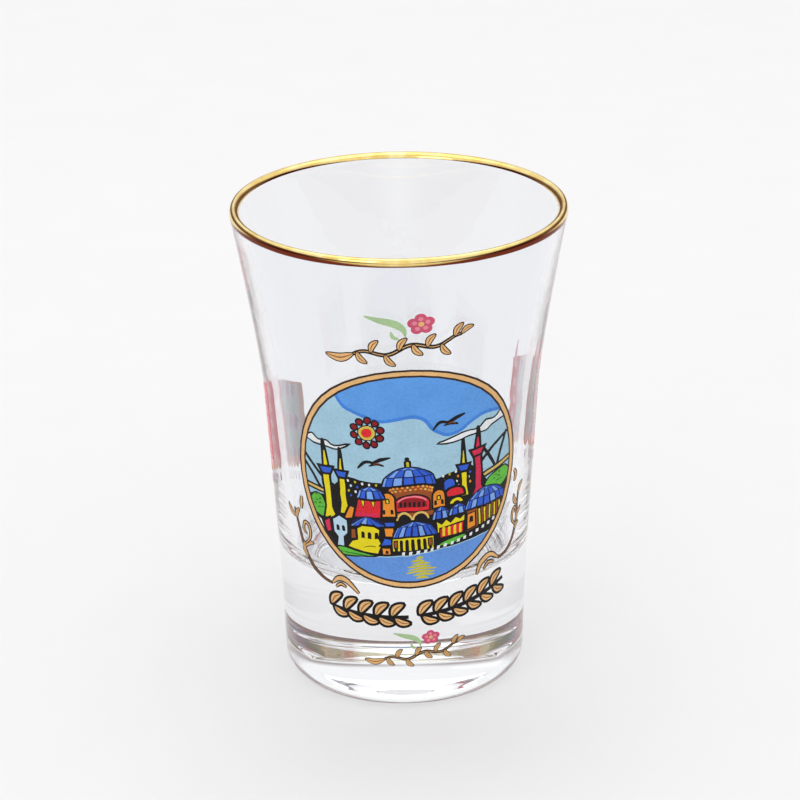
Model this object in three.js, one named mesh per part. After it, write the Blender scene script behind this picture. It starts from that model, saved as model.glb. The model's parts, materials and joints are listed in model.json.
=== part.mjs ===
// A flared souvenir shot glass: one pressed glass body with a solid base, bright gold fired over its lip,
// and thin printed films fired onto its wall. Millimetres, +Z up. The origin is the centre of the foot on
// the table, and the front of the glass, with its round picture, faces -Y.
import * as THREE from "three";
import { TessellateModifier } from "three/addons/modifiers/TessellateModifier.js";

// Outside of the glass
const height = 72;
const lipRadius = 24.2; // where the flare would reach at the top if the lip were not rounded
const footRadius = 17.7; // the wall's radius if it ran straight down to the table
const taper = 0.026; // widening per millimetre of height, all the way up
const swell = { start: 12, gain: 2.1, power: 1.15 }; // slow widening above the solid base
const flare = { start: 46, power: 1.25 }; // quicker widening towards the lip
const heelRadius = 3.2;
const puntRadius = 9.5; // the shallow hollow under the foot
const puntDepth = 1.2;

// Inside of the glass
const floorHeight = 19; // top of the solid base
const floorDish = 0.4; // how far the cavity's floor sinks at its centre
const cornerRadius = 4; // between the cavity's floor and wall
const lipWall = 1.4; // wall thickness at the lip
const lipRound = 1.1; // how far below the top the outside starts to round over
const baseWall = 2.6; // wall thickness at the cavity's floor

const goldThickness = 0.08; // the fired gold on the lip

// Printed films
const filmGap = 0.08; // between the glass and the first film
const filmThickness = 0.06;
const filmPitch = 0.12; // from one printed layer to the next
const filmFacet = 2.4; // longest edge of a film's facets, short enough to follow the round wall

// Places on the wall: the direction of each print's centre, turning from the front towards +X, its height,
// and how far the print is tilted
const degree = Math.PI / 180;
const pictureSite = { angle: 3.3 * degree, z: 37.6, tilt: 3 * degree };
const garlandSite = { angle: 5.5 * degree, z: 14.3, tilt: 0 };
const upperSprigSite = { angle: -1 * degree, z: 59.6, tilt: 5 * degree };
const lowerSprigSite = { angle: 5 * degree, z: 10.3, tilt: 5 * degree };
const leftRugSite = { angle: -98.5 * degree, z: 36.2, tilt: 0 };
const rightRugSite = { angle: 91.8 * degree, z: 40.4, tilt: 0 };

// Sizes of the prints
const pictureRadius = 16.1;
const outlineInner = 16.2; // the dark band under the gold ring
const outlineOuter = 17.4;
const ringInner = 16.5;
const ringOuter = 17.15;
const lowerSprigScale = 0.7;
const rugSlope = 0.42; // how far a side panel hangs askew

const glassSteps = 60; // facets round the glass
const discSteps = 54; // facets round a disc or a ring

// ---- materials ----

const paint = (color, roughness = 0.35, metalness = 0) =>
  new THREE.MeshStandardMaterial({ color, roughness, metalness });

const glass = new THREE.MeshStandardMaterial({
  color: 0xeef2f4, roughness: 0.04, metalness: 0, transparent: true, opacity: 0.35,
});
const gold = paint(0xd9b25a, 0.18, 1);
const printedGold = paint(0xe0b878, 0.4, 0.5);
const black = paint(0x16120f);
const darkBrown = paint(0x3a2a1c);
const skyBlue = paint(0xa5cde2);
const cloudBlue = paint(0x5f9fe6);
const seaBlue = paint(0x6a9ce2);
const domeBlue = paint(0x3c6edb);
const yellow = paint(0xe8d81e);
const orange = paint(0xef9430);
const red = paint(0xe02838);
const crimson = paint(0xd72a50);
const green = paint(0x64be3c);
const paleBlue = paint(0xb9d7eb);
const leafGreen = paint(0xaac896);
const rose = paint(0xcd5573);
const rugRed = paint(0xc25a62);
const rugGrey = paint(0x9fb0b4);
const rugTan = paint(0xc79c86);

// ---- the glass ----

const ramp = (z, { start, power }) => Math.max(0, (z - start) / (height - start)) ** power;
const flareGain = lipRadius - footRadius - taper * height - swell.gain;

// Outer radius of the wall at height z.
function wallRadius(z) {
  return footRadius + taper * z + swell.gain * ramp(z, swell) + flareGain * ramp(z, flare);
}

// Inner radius of the wall at height z.
function boreRadius(z) {
  const down = (height - z) / (height - floorHeight);
  return wallRadius(z) - lipWall - (baseWall - lipWall) * down ** 1.3;
}

// Points of a circular arc in the (radius, z) plane, both ends included.
function arc(centreR, centreZ, radius, from, to, steps) {
  const points = [];
  for (let i = 0; i <= steps; i++) {
    const angle = from + ((to - from) * i) / steps;
    points.push(new THREE.Vector2(centreR + radius * Math.cos(angle), centreZ + radius * Math.sin(angle)));
  }
  return points;
}

// Points of a wall line between two heights, both ends included.
function wallLine(radiusAt, from, to, steps) {
  const points = [];
  for (let i = 0; i <= steps; i++) {
    const z = from + ((to - from) * i) / steps;
    points.push(new THREE.Vector2(radiusAt(z), z));
  }
  return points;
}

// A profile in the (radius, z) plane turned about the +Z axis.
function turned(profile, steps) {
  return new THREE.LatheGeometry(profile, steps).rotateX(Math.PI / 2);
}

// The rounded lip from its outside over the top to its inside, moved out from the glass by offset.
function lipLine(offset) {
  const steps = 3;
  const half = (side, below, radiusAt) =>
    Array.from({ length: steps + 1 }, (_, i) => {
      const angle = (Math.PI / 2) * (i / steps);
      const z = height - below * (1 - Math.sin(angle));
      const radius = radiusAt(z) - side * (lipWall / 2) * (1 - Math.cos(angle));
      return new THREE.Vector2(radius + side * offset * Math.cos(angle), z + offset * Math.sin(angle));
    });
  return [...half(1, lipRound, wallRadius), ...half(-1, lipWall / 2, boreRadius).slice(0, -1).reverse()];
}

function glassBody() {
  const sphere = (puntRadius ** 2 + puntDepth ** 2) / (2 * puntDepth);
  const puntAngle = Math.asin(puntRadius / sphere);
  const punt = arc(0, puntDepth - sphere, sphere, Math.PI / 2, Math.PI / 2 - puntAngle, 2);
  punt[0].x = 0;
  const heel = arc(wallRadius(heelRadius) - heelRadius, heelRadius, heelRadius, -Math.PI / 2, 0, 5);
  const outside = wallLine(wallRadius, heelRadius, height - lipRound, 15);
  const cornerTop = floorHeight + cornerRadius;
  const inside = wallLine(boreRadius, height - lipWall / 2, cornerTop, 9);
  const cornerCentre = boreRadius(cornerTop) - cornerRadius;
  const corner = arc(cornerCentre, cornerTop, cornerRadius, 0, -Math.PI / 2, 4);
  const floor = [new THREE.Vector2(cornerCentre / 2, floorHeight - 0.7 * floorDish)];
  floor.push(new THREE.Vector2(0, floorHeight - floorDish));
  const profile = [...punt, ...heel, ...outside.slice(1), ...lipLine(0).slice(1), ...inside.slice(1)];
  return turned([...profile, ...corner.slice(1), ...floor], glassSteps);
}

// The gold follows the rounded lip at a small gap.
function rimBand() {
  const outer = lipLine(filmGap + goldThickness);
  const inner = lipLine(filmGap).reverse();
  return turned([...outer, ...inner, outer[0]], glassSteps);
}

// ---- flat drawings of the films: u to the right and v up, seen from outside ----

const point = (u, v) => new THREE.Vector2(u, v);

// A flat outline with straight sides.
const polygon = (...corners) => new THREE.Shape(corners.map(([u, v]) => point(u, v)));

// A flat outline that curves smoothly through its corners.
function blob(...corners) {
  const loop = new THREE.CatmullRomCurve3(corners.map(([u, v]) => new THREE.Vector3(u, v, 0)), true);
  return new THREE.Shape(loop.getPoints(3 * corners.length).slice(0, -1).map((p) => point(p.x, p.y)));
}

// A line that curves smoothly through its points, as wide in the middle as width and narrow at both ends.
function brush(width, ...points) {
  const line = new THREE.SplineCurve(points.map(([u, v]) => point(u, v)));
  const steps = 4 * (points.length - 1);
  const left = [];
  const right = [];
  for (let i = 0; i <= steps; i++) {
    const t = i / steps;
    const tangent = line.getTangent(t);
    const half = (width / 2) * (0.25 + 0.75 * Math.sin(Math.PI * t));
    const side = point(-tangent.y, tangent.x).multiplyScalar(half);
    left.push(line.getPoint(t).add(side));
    right.unshift(line.getPoint(t).sub(side));
  }
  return new THREE.Shape([...right.reverse(), ...left.reverse()]);
}

// A round flower or sun: its edge swings in and out once for each petal.
function petals(u, v, radius, swing, count) {
  const steps = 6 * count;
  const edge = [];
  for (let i = 0; i < steps; i++) {
    const angle = (2 * Math.PI * i) / steps;
    const reach = radius + swing * Math.cos(count * angle);
    edge.push(point(u + reach * Math.cos(angle), v + reach * Math.sin(angle)));
  }
  return new THREE.Shape(edge);
}

// The upper half of an ellipse, standing on its centre line.
function cap(u, v, halfWidth, rise) {
  const shape = new THREE.Shape();
  shape.absellipse(u, v, halfWidth, rise, 0, Math.PI);
  return shape;
}

// The part of the picture's disc that lies above or below a line from its left edge to its right edge.
function segment(line, above) {
  const radius = pictureRadius - 0.05;
  const [first, last] = [line[0], line[line.length - 1]];
  const start = Math.atan2(last[1], last[0]);
  const end = Math.atan2(first[1], first[0]);
  const shape = new THREE.Shape();
  shape.moveTo(radius * Math.cos(end), radius * Math.sin(end));
  shape.splineThru(line.slice(1, -1).map(([u, v]) => point(u, v)));
  shape.lineTo(radius * Math.cos(start), radius * Math.sin(start));
  shape.absarc(0, 0, radius, start, end, !above);
  return shape;
}

// A tower with a balcony and a pointed top.
function tower(u, base, balcony, tip, width) {
  const half = width / 2;
  const ledge = 0.9 * width;
  return polygon(
    [u - half, base], [u + half, base], [u + half, balcony], [u + ledge, balcony + 0.7],
    [u + 0.8 * half, balcony + 0.7], [u + 0.1, tip], [u - 0.1, tip], [u - 0.8 * half, balcony + 0.7],
    [u - ledge, balcony + 0.7], [u - half, balcony],
  );
}

// A block with a round top.
function archBlock(u, base, halfWidth, shoulder) {
  const shape = new THREE.Shape();
  shape.moveTo(u - halfWidth, base);
  shape.lineTo(u + halfWidth, base);
  shape.absarc(u, shoulder, halfWidth, 0, Math.PI);
  return shape;
}

// A row of pillars under one beam, all one outline.
function pillars(left, right, base, top, count) {
  const step = (right - left) / (count - 0.5);
  const corners = [[left, top], [left, base]];
  for (let i = 0; i < count; i++) {
    const u = left + i * step;
    corners.push([u + step / 2, base]);
    if (i < count - 1) corners.push([u + step / 2, top - 0.5], [u + step, top - 0.5], [u + step, base]);
  }
  corners.push([right, top]);
  return polygon(...corners);
}

// ---- from the flat drawing to the round wall ----

// Bends a flat solid onto the wall at a site: its u runs round the glass, its v up, its depth outwards.
function wrapped(flat, site, layer) {
  const position = flat.getAttribute("position");
  const unroll = wallRadius(site.z);
  const [cos, sin] = [Math.cos(site.tilt), Math.sin(site.tilt)];
  for (let i = 0; i < position.count; i++) {
    const [u, v] = [position.getX(i), position.getY(i)];
    const angle = site.angle + (u * cos - v * sin) / unroll;
    const z = site.z + u * sin + v * cos;
    const radius = wallRadius(z) + filmGap + layer * filmPitch + position.getZ(i);
    position.setXYZ(i, radius * Math.sin(angle), -radius * Math.cos(angle), z);
  }
  return flat;
}

// A film with any outline, split into facets short enough to bend.
function film(shape, site, layer) {
  const flat = new THREE.ExtrudeGeometry(shape, {
    depth: filmThickness, bevelEnabled: false, curveSegments: 5,
  });
  flat.deleteAttribute("normal");
  flat.deleteAttribute("uv");
  return wrapped(new TessellateModifier(filmFacet, 8).modify(flat), site, layer);
}

// A round film between two radii; an inner radius of 0 makes a whole disc.
function roundFilm(inner, outer, site, layer) {
  const rows = Math.ceil((outer - inner) / filmFacet);
  const radii = Array.from({ length: rows + 1 }, (_, i) => inner + ((outer - inner) * i) / rows);
  const back = radii.map((radius) => point(radius, 0));
  const front = radii.map((radius) => point(radius, filmThickness)).reverse();
  const profile = inner > 0 ? [...back, ...front, back[0]] : [...back, ...front];
  return wrapped(turned(profile, discSteps), site, layer);
}

// ---- the object ----

const shotGlass = new THREE.Group();

function add(name, geometry, material) {
  const mesh = new THREE.Mesh(geometry, material);
  mesh.name = name;
  shotGlass.add(mesh);
}

add("glass_body", glassBody(), glass);
add("rim_band", rimBand(), gold);

// The round picture: grounds on the first two layers, colours on the third.
function picture() {
  const ground = (name, shape, material) => add(name, film(shape, pictureSite, 1), material);
  const colour = (name, shape, material) => add(name, film(shape, pictureSite, 2), material);

  add("picture_sky", roundFilm(0, pictureRadius, pictureSite, 0), skyBlue);
  const cloudEdge = [
    [-9.8, 12.8], [-8.4, 11.2], [-6.3, 10.1], [-3.8, 9.1], [0.8, 9.6], [2.6, 8.7], [3.7, 7.1], [5.4, 6.1],
    [7.5, 6.4], [9.5, 7.5], [12, 8], [14.2, 7.7],
  ];
  ground("cloud_band", segment(cloudEdge, true), cloudBlue);
  const shore = [[-10.6, -12.3], [-5.8, -12.1], [-0.5, -12], [5, -11.6], [11.8, -11]];
  ground("sea", segment(shore, false), seaBlue);
  const town = [
    [-10.8, -11.9], [-5.8, -11.8], [-0.5, -11.7], [5, -11.3], [11.2, -10.6], [13.2, -8.8], [15, -5.4],
    [15.4, -3], [11.6, -2.4], [10.6, -0.6], [9, 0.9], [5.4, 0.3], [3.8, -0.3], [3, 1], [-0.2, 2.3], [-3.4, 1],
    [-4.2, -0.4], [-7.4, 0.1], [-9.4, 0.6], [-13.2, -2.8], [-15.5, -3.2], [-14, -7.6], [-12.4, -10],
  ];
  ground("town_silhouette", polygon(...town), black);
  colour("sun", petals(-5.55, 7.55, 1.95, 0.6, 10), crimson);
  ground("bird_left", brush(0.6, [-7.3, 2], [-6.2, 3], [-4.8, 2.8], [-2.6, 3.7]), black);
  colour("bird_right", brush(0.6, [3.5, 7.4], [4.6, 8.4], [6, 8.2], [8.2, 9.1]), black);

  const towers = [
    [-12.5, -5.5, 0.8, 5.7, 1.3, yellow], [-9.95, -5.6, 0.4, 4.8, 1.15, yellow],
    [7.9, -4, 0.3, 4.9, 1.1, yellow], [10.2, -3.4, 2.2, 6.3, 1.25, crimson],
  ];
  towers.forEach(([u, base, balcony, tip, width, material], i) => {
    colour(`tower_${i + 1}`, tower(u, base, balcony, tip, width), material);
  });
  colour("central_dome", cap(-0.2, -1, 3.8, 3), domeBlue);
  colour("facade", archBlock(-0.1, -6, 3.3, -4.5), red);
  colour("turret_left", archBlock(-4.05, -5.8, 0.55, -2.9), orange);
  colour("turret_right", archBlock(4.3, -5, 0.95, -2.95), orange);
  colour("left_dome", cap(-6.3, -2.8, 1.9, 1.8), domeBlue);
  colour("left_drum", polygon([-8.8, -5.9], [-4.7, -5.9], [-4.7, -3], [-8.6, -3]), red);
  colour("front_dome", cap(0.15, -9, 3.2, 2.3), domeBlue);
  colour("colonnade", pillars(-3.3, 2.9, -11.3, -9.2, 7), yellow);
  colour("right_dome", cap(11.6, -6.3, 3.2, 2.7), domeBlue);
  colour("right_pillars", pillars(8.2, 13.2, -9, -6.5, 6), yellow);
  const yellowHouse = [
    [-10.2, -10.7], [-9.3, -9.6], [-8.5, -9.4], [-8.5, -7.6], [-7.6, -7], [-5.8, -7], [-4.8, -7.6],
    [-5.1, -9], [-4.7, -10.2], [-5.4, -11.6], [-7.6, -11.4],
  ];
  colour("yellow_house", polygon(...yellowHouse.reverse()), yellow);
  const paleHouse = [
    [-12.3, -8.6], [-12.3, -6.5], [-11, -5.8], [-9.7, -6.4], [-9.8, -8.6], [-10.5, -9.2], [-10.5, -10.8],
    [-11.8, -10.6], [-11.6, -9.3],
  ];
  colour("pale_house", polygon(...paleHouse.reverse()), paleBlue);
  const leftShrub = [[-14.9, -5.8], [-13.5, -6.4], [-13.4, -4.6], [-13.9, -3.2], [-15, -3], [-15.3, -4.2]];
  colour("shrub_left", blob(...leftShrub), green);
  const rightShrub = [[12.1, -2.9], [14.2, -3.8], [15.2, -3.2], [15.2, -1.7], [13.4, -1.9], [12, -2.3]];
  colour("shrub_right", blob(...rightShrub), green);
}
picture();

// The gold ring round the picture, on a dark band that shows as a line along each of its edges.
add("ring_outline", roundFilm(outlineInner, outlineOuter, pictureSite, 0), black);
add("medallion_ring", roundFilm(ringInner, ringOuter, pictureSite, 1), printedGold);

// Two laurel branches under the picture: pairs of gold leaves on dark bands, along a shallow arc.
function garland() {
  const pitch = 2.3;
  const arcRadius = 54;
  const lowest = -4; // the place along the arc where it hangs lowest
  const rise = (u) => (u - lowest) ** 2 / (2 * arcRadius);
  const pair = [
    [-0.3, 0.1], [0.2, 1.4], [1.5, 2.2], [1.3, 1], [0.6, 0.2], [1.3, 0], [1.9, -0.8], [1.1, -1], [0.2, -0.6],
  ];
  const branches = [{ name: "left", first: -12.6, count: 5 }, { name: "right", first: 0.6, count: 6 }];
  let number = 0;
  for (const { name, first, count } of branches) {
    const us = Array.from({ length: count }, (_, i) => first + i * pitch);
    const ends = [us[0] - 0.6, ...us, us[count - 1] + 2.7];
    const top = ends.map((u) => [u, 3.9 + rise(u)]).reverse();
    const bottom = ends.map((u) => [u, -0.4 + rise(u)]);
    add(`garland_outline_${name}`, film(polygon(...bottom, ...top), garlandSite, 0), black);
    for (const u of us) {
      number += 1;
      const node = `garland_leaf_${String(number).padStart(2, "0")}`;
      const leaves = pair.map(([du, dv]) => [u + du, 1.2 + rise(u) + dv]);
      add(node, film(blob(...leaves.reverse()), garlandSite, 1), printedGold);
    }
  }
}
garland();

// A gold ornament beside the picture: a stem, and over it the crescent that it climbs from and a curl.
function scroll(name, { crescent, stem, curl }) {
  const stroke = (width, points, layer) => film(brush(width, ...points), pictureSite, layer);
  add(`${name}_crescent`, stroke(1, crescent, 1), printedGold);
  add(`${name}_stem`, stroke(0.7, stem, 0), darkBrown);
  add(`${name}_curl`, stroke(0.6, curl, 1), printedGold);
}
scroll("scroll_left", {
  crescent: [[-13.4, -17], [-12.2, -16.1], [-10.8, -16.4], [-9, -18.2]],
  stem: [[-13.4, -17.1], [-15.1, -16.5], [-17.1, -15], [-18.6, -12.4], [-19.4, -9.4], [-20.1, -6.6]],
  curl: [[-18.4, -12], [-17, -10.6], [-17, -8.8], [-17.9, -8.4]],
});
scroll("scroll_right", {
  crescent: [[9.7, -17.4], [10.5, -15.7], [12.3, -14.9], [14, -16]],
  stem: [[14, -16.2], [16, -15.8], [17.8, -14.2], [18.7, -11.6], [18.9, -8.8], [19.4, -6.4]],
  curl: [[18.5, -12.6], [17.5, -11.4], [17.6, -10], [18.3, -9.6]],
});

// A small flower emblem: a blossom, a bent leaf, and a long waving gold vine under them.
function sprig(name, site, scale) {
  const scaled = (shape) => {
    const flat = shape.getPoints(5).map((p) => p.multiplyScalar(scale));
    return film(new THREE.Shape(flat), site, 0);
  };
  add(`${name}_blossom`, scaled(petals(3.4, 2.2, 1.5, 0.3, 5)), rose);
  const leaf = [[-4.2, 4.1], [-2.4, 3.4], [-0.2, 2.6], [0.9, 1.6], [1.1, 0.4]];
  add(`${name}_leaf`, scaled(brush(1.15, ...leaf)), leafGreen);
  const vine = [];
  for (let u = -10.7; u < 11; u += 1.78) vine.push([u, -1.5 + 0.5 * Math.sin(0.9 * u) + 0.07 * u]);
  add(`${name}_tendril`, scaled(brush(0.8, ...vine)), printedGold);
}
sprig("sprig_upper", upperSprigSite, 1);
sprig("sprig_lower", lowerSprigSite, lowerSprigScale);

// A woven panel that hangs askew by slope: a field with a scalloped hem and, at the given shares of its
// width, pointed tips; on it a grey stripe and a red one.
function rug(name, site, { width, slope, tips }) {
  const [low, high] = [-5.6, 7.4];
  const at = (share, v) => {
    const u = width * (share - 0.5);
    return [u, v + slope * u];
  };
  const scallops = Math.round(width / 2);
  const edge = [at(0, high), at(0, low)];
  for (let i = 0; i < scallops; i++) {
    edge.push(at((i + 0.25) / scallops, low - 0.8), at((i + 0.75) / scallops, low - 0.8));
    edge.push(at((i + 1) / scallops, low));
  }
  edge.push(at(1, high));
  for (const share of tips) {
    const [u, v] = at(share, high);
    edge.push([u + 0.7, v], [u + 0.15, v + 2.6], [u - 0.15, v + 2.6], [u - 0.7, v]);
  }
  add(`${name}_field`, film(polygon(...edge), site, 0), rugTan);
  const stripe = (left, right) =>
    polygon(at(left, low + 0.4), at(right, low + 0.4), at(right, high - 0.4), at(left, high - 0.4));
  add(`${name}_red_stripe`, film(stripe(0.72, 0.98), site, 1), rugRed);
  add(`${name}_grey_stripe`, film(stripe(0.1, 0.68), site, 1), rugGrey);
}
rug("rug_left", leftRugSite, { width: 16.2, slope: rugSlope, tips: [] });
rug("rug_right", rightRugSite, { width: 12.7, slope: -rugSlope, tips: [0.92, 0.08] });

export default shotGlass;
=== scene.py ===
"""A flared souvenir shot glass on a pale floor: pressed glass with a solid base, gold fired over the lip, and
printed transfers fired onto the wall. Lengths are in millimetres until a mesh is made, which is in metres."""
import json
import math

import bpy
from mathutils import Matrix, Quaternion, Vector, noise
from mathutils.geometry import delaunay_2d_cdt


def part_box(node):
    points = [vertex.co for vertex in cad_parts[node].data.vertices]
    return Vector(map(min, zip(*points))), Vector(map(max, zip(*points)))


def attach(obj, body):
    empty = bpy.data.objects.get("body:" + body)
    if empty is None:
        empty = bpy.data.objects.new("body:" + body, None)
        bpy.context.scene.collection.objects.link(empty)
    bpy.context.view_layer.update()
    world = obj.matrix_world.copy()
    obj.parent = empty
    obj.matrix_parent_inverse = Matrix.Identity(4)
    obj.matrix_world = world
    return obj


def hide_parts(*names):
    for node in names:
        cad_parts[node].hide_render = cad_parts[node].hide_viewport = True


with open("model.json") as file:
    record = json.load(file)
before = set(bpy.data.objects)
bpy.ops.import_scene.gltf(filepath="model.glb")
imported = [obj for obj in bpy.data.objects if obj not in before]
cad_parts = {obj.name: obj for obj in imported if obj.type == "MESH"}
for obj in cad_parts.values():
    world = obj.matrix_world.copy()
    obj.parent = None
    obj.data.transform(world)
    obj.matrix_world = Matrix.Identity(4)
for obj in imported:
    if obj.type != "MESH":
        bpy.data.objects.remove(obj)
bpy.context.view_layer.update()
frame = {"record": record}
SLOTS = {part["node"]: part["material_slot"] for part in frame["record"]["subparts"]}

MM = 0.001
DEG = math.pi / 180

# Outside of the glass
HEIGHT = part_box("glass_body")[1].z / MM
LIP_RADIUS = 24.2  # where the flare would reach at the top if the lip were not rounded
FOOT_RADIUS = 17.7  # the wall's radius if it ran straight down to the table
TAPER = 0.026  # widening per millimetre of height
SWELL_START, SWELL_GAIN, SWELL_POWER = 12.0, 2.1, 1.15
FLARE_START, FLARE_POWER = 46.0, 1.25
FLARE_GAIN = LIP_RADIUS - FOOT_RADIUS - TAPER * HEIGHT - SWELL_GAIN
LIP_ROUND = 1.1  # how far below the top the outside starts to round over
HEEL_RADIUS = 3.2
PUNT_RADIUS = 9.5  # the shallow hollow under the foot
PUNT_DEPTH = 1.2
GLASS_STEPS = 224  # facets round the glass

# Inside of the glass
FLOOR_HEIGHT = 19.0
FLOOR_DISH = 0.4  # how much lower the floor is in its middle
CORNER_RADIUS = 4.0
LIP_WALL = 1.4  # thickness of the wall at the lip
BASE_WALL = 2.6  # thickness of the wall at the floor

# Gold on the lip
GOLD_PROUD = 0.04  # how far the gold stands out from the glass
GOLD_SUNK = 0.02  # how far its back lies in the glass, so that no air shows between them
GOLD_STEPS = 256  # facets round the lip
GOLD_WAVER = 0.16  # how much its edges wander
GOLD_WAVES = 180.0  # how often they wander, per metre
GOLD_BROWN = (0.12, 0.34)  # above its lower edge, where its brown starts to fade and where it ends
# The brown edge reaches higher on the four diagonals as a painted reflection of the dim surroundings.
GOLD_PAINTED_REFLECTION = 0.6  # how much higher its brown edge reaches on the diagonals

# Printed films
INK_PROUD = 0.03  # how far a film stands out from the glass
INK_SUNK = 0.02  # how far its back lies in the glass
INK_GRID = 1.0  # spacing of the points that let a film bend with the wall
INK_STEP = 0.8  # longest step along an outline

# Places on the wall: angle from the front towards +X, height, and tilt of the print
PICTURE_SITE = (3.3 * DEG, 37.6, 3 * DEG)
GARLAND_SITE = (5.5 * DEG, 14.3, 0.0)
UPPER_SPRIG_SITE = (-1 * DEG, 59.6, 5 * DEG)
LOWER_SPRIG_SITE = (5 * DEG, 10.3, 5 * DEG)
LEFT_RUG_SITE = (-98.5 * DEG, 36.2, 0.0)
RIGHT_RUG_SITE = (91.8 * DEG, 40.4, 0.0)

# The prints
PICTURE_RADIUS = 16.2
PICTURE_REACH = 24.0  # how far out the picture is cut away outside its ring
RING_RADIUS = 17.4
RING_LINE = 0.3  # width of the dark line along each edge of the ring
GARLAND_ARC = 54.0
GARLAND_LOW = -4.0  # where along it the garland hangs lowest
LOWER_SPRIG_SCALE = 0.7
LEFT_RUG_WIDTH = 16.2
RIGHT_RUG_WIDTH = 12.7
RUG_SLOPE = 0.42  # how far a side panel hangs askew
RUG_LOW, RUG_HIGH = -5.6, 7.4  # its lower and upper edge, from the middle of its site

# The set
DOME_STRENGTH = 1.0
DIM_SIDES = 0.42  # how much higher the dim horizon reaches at the sides
DIM_BACK = 0.12  # and behind the glass
FLOOR_SPAN = 3000.0
FLOOR_GAP = 0.05  # how far the floor lies below the foot
CAMERA_PLACE = (0.0, -400.0, 207.8)
CAMERA_LENS = 133.84
CAMERA_PITCH = 22.547 * DEG
CAMERA_YAW = -0.027 * DEG
CAMERA_ROLL = -0.80 * DEG


# ---- the glass's own shape ----


def ramp(z, start, power):
    """A rise from 0 at a starting height to 1 at the top."""
    return max(0.0, (z - start) / (HEIGHT - start)) ** power


def wall_radius(z):
    """Outer radius of the wall at height z."""
    swell = SWELL_GAIN * ramp(z, SWELL_START, SWELL_POWER)
    return FOOT_RADIUS + TAPER * z + swell + FLARE_GAIN * ramp(z, FLARE_START, FLARE_POWER)


def bore_radius(z):
    """Inner radius of the wall at height z."""
    down = (HEIGHT - z) / (HEIGHT - FLOOR_HEIGHT)
    return wall_radius(z) - LIP_WALL - (BASE_WALL - LIP_WALL) * down**1.3


def arc(centre_r, centre_z, radius, start, end, steps):
    """Points of a circular arc in the (radius, z) plane, both ends included."""
    angles = [start + (end - start) * i / steps for i in range(steps + 1)]
    return [(centre_r + radius * math.cos(a), centre_z + radius * math.sin(a)) for a in angles]


def wall_line(radius_at, start, end, steps):
    """Points of a wall line between two heights, both ends included."""
    heights = [start + (end - start) * i / steps for i in range(steps + 1)]
    return [(radius_at(z), z) for z in heights]


def lip_line(offset, steps):
    """The rounded lip from its outside over the top to its inside, moved out from the glass by offset."""
    points = []
    for half, below, radius_at in ((1, LIP_ROUND, wall_radius), (-1, LIP_WALL / 2, bore_radius)):
        side = []
        for i in range(steps + 1):
            a = math.pi / 2 * i / steps
            z = HEIGHT - below * (1 - math.sin(a))
            radius = radius_at(z) - half * LIP_WALL / 2 * (1 - math.cos(a))
            side.append((radius + half * offset * math.cos(a), z + offset * math.sin(a)))
        points += side if half > 0 else side[-2::-1]
    return points


def turned(name, profile, steps, closed=False):
    """A mesh object made by turning a (radius, z) profile about the axis."""
    verts, rings = [], []
    for radius, z in profile:
        if radius < 1e-6:
            rings.append([len(verts)] * steps)
            verts.append((0.0, 0.0, z * MM))
            continue
        rings.append([len(verts) + i for i in range(steps)])
        for i in range(steps):
            a = 2 * math.pi * i / steps
            verts.append((radius * MM * math.cos(a), radius * MM * math.sin(a), z * MM))
    faces = []
    pairs = list(zip(rings, rings[1:] + rings[:1])) if closed else list(zip(rings, rings[1:]))
    for low, high in pairs:
        for i in range(steps):
            j = (i + 1) % steps
            corners = [low[i], low[j], high[j], high[i]]
            faces.append([c for n, c in enumerate(corners) if c not in corners[:n]])
    return made(name, verts, faces)


def made(name, verts, faces):
    """A smooth-shaded mesh object."""
    mesh = bpy.data.meshes.new(name)
    mesh.from_pydata(verts, [], faces)
    mesh.shade_smooth()
    mesh.update()
    obj = bpy.data.objects.new(name, mesh)
    bpy.context.collection.objects.link(obj)
    return obj


# ---- materials ----


def srgb(red, green, blue):
    """Display values from 0 to 255 as linear light."""
    def linear(c):
        c /= 255
        return c / 12.92 if c <= 0.04045 else ((c + 0.055) / 1.055) ** 2.4
    return (linear(red), linear(green), linear(blue), 1.0)


def new_material(name):
    """A material with its node tree and its shader."""
    material = bpy.data.materials.new(name)
    material.use_nodes = True
    return material, material.node_tree, material.node_tree.nodes["Principled BSDF"]


def noise_node(tree, scale, detail=2.0):
    """Noise in the object's own coordinates; scale is in features per metre."""
    place = tree.nodes.new("ShaderNodeTexCoord")
    node = tree.nodes.new("ShaderNodeTexNoise")
    node.inputs["Scale"].default_value = scale
    node.inputs["Detail"].default_value = detail
    tree.links.new(place.outputs["Object"], node.inputs["Vector"])
    return node.outputs["Fac"]


def bump_node(tree, height, distance, strength):
    """Small relief, with its depth in metres."""
    node = tree.nodes.new("ShaderNodeBump")
    node.inputs["Distance"].default_value = distance
    node.inputs["Strength"].default_value = strength
    tree.links.new(height, node.inputs["Height"])
    return node.outputs["Normal"]


def span_node(tree, value, low, high):
    """Maps noise, which runs about 0.3 to 0.7, to a range."""
    node = tree.nodes.new("ShaderNodeMapRange")
    node.inputs["From Min"].default_value = 0.3
    node.inputs["From Max"].default_value = 0.7
    node.inputs["To Min"].default_value = low
    node.inputs["To Max"].default_value = high
    tree.links.new(value, node.inputs["Value"])
    return node.outputs["Result"]


def tone_node(tree, value, first, last, low=0.0, high=1.0):
    """Blends from one colour to another as a value goes from low to high."""
    node = tree.nodes.new("ShaderNodeValToRGB")
    for stop, position, colour in zip(node.color_ramp.elements, (low, high), (first, last)):
        stop.position = position
        stop.color = colour
    tree.links.new(value, node.inputs["Fac"])
    return node.outputs["Color"]


def math_node(tree, operation, *operands):
    """The result of arithmetic on outputs and plain numbers."""
    node = tree.nodes.new("ShaderNodeMath")
    node.operation = operation
    for socket, operand in zip(node.inputs, operands):
        if isinstance(operand, float):
            socket.default_value = operand
        else:
            tree.links.new(operand, socket)
    return node.outputs[0]


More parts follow.
